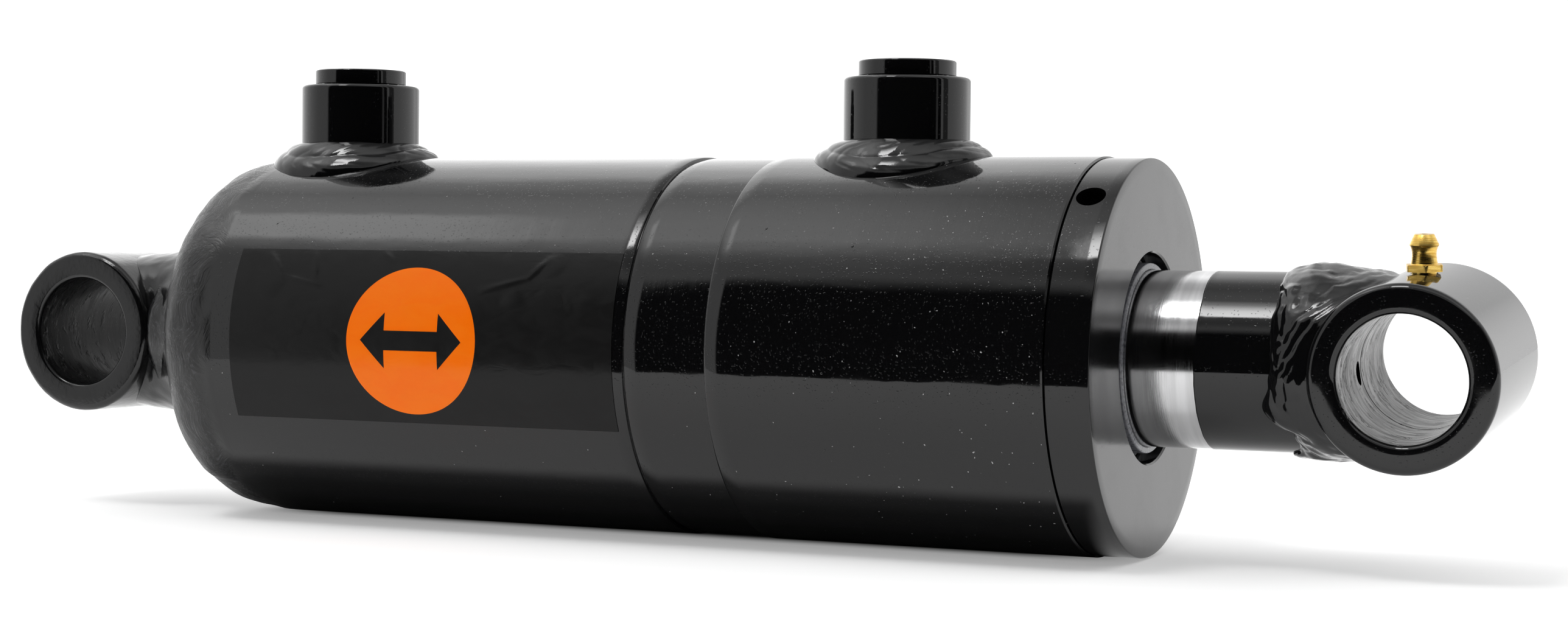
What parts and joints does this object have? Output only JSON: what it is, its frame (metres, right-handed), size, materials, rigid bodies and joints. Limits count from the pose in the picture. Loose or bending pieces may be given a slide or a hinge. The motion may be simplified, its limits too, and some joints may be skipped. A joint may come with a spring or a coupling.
{
  "type": "hydraulic cylinder",
  "caption": "Double-acting welded hydraulic cylinder with cross-tube pin eyes at both ends, two plugged ports and a chromed rod that slides and turns.",
  "frame": {"origin": "centre of the base pin eye, on its bore axis and the cylinder axis", "axes": "+X along the cylinder axis towards the rod eye, +Z towards the ports, +Y completes the right-handed frame and lies along the base eye's bore"},
  "size_m": [0.4303, 0.102, 0.1266],
  "materials": {
    "black_paint": "gloss enamel",
    "turned_black": "satin enamel over a turned face",
    "chrome_rod": "hard chrome, ground and polished",
    "bare_steel": "machined",
    "brass": "turned",
    "rubber": "moulded",
    "urethane": "moulded",
    "nylon": "machined",
    "label_film": "satin printed film",
    "orange_print": "printed film"
  },
  "bodies": {
    "barrel": {"barrel_tube": "black_paint", "base_cap": "black_paint", "base_ring_weld": "black_paint", "base_cross_tube": "black_paint", "base_eye_weld": "black_paint", "port_boss_base": "black_paint", "port_boss_head": "black_paint", "port_weld_base": "black_paint", "port_weld_head": "black_paint", "label": "label_film", "gland": "turned_black", "gland_o_ring": "rubber", "gland_backup_ring": "nylon", "rod_guide_ring_inner": "nylon", "rod_guide_ring_outer": "nylon", "rod_seal": "urethane", "rod_wiper": "urethane"},
    "piston_seals": {"piston_seal": "urethane", "piston_wear_ring_base": "nylon", "piston_wear_ring_head": "nylon"},
    "rod": {"piston_rod": "chrome_rod", "piston": "bare_steel", "piston_nut": "bare_steel", "piston_o_ring": "rubber", "rod_cross_tube": "black_paint", "rod_weld": "black_paint", "grease_fitting": "brass", "grease_spring": "bare_steel"},
    "grease_ball": {"grease_ball": "bare_steel"},
    "base_plug": {"port_plug_base": "black_paint", "plug_o_ring_base": "rubber"},
    "head_plug": {"port_plug_head": "black_paint", "plug_o_ring_head": "rubber"}
  },
  "joints": [
    {"name": "rod_stroke", "type": "slide", "parent": "barrel", "child": "piston_seals", "axis": [1, 0, 0], "range_m": [0, 0.1016]},
    {"name": "rod_turn", "type": "hinge", "parent": "piston_seals", "child": "rod", "pos_m": [0.1065, 0, 0], "axis": [1, 0, 0], "continuous": true},
    {"name": "grease_ball_press", "type": "slide", "parent": "rod", "child": "grease_ball", "axis": [0, -0.0872, 0.9962], "range_m": [-0.0008, 0], "stiffness_N_per_m": 200, "springref_m": 0.001, "deforming": ["grease_spring"]},
    {"name": "base_plug_lift", "type": "slide", "parent": "barrel", "child": "base_plug", "axis": [0, 0, 1], "range_m": [0, 0.02]},
    {"name": "head_plug_lift", "type": "slide", "parent": "barrel", "child": "head_plug", "axis": [0, 0, 1], "range_m": [0, 0.02]}
  ]
}
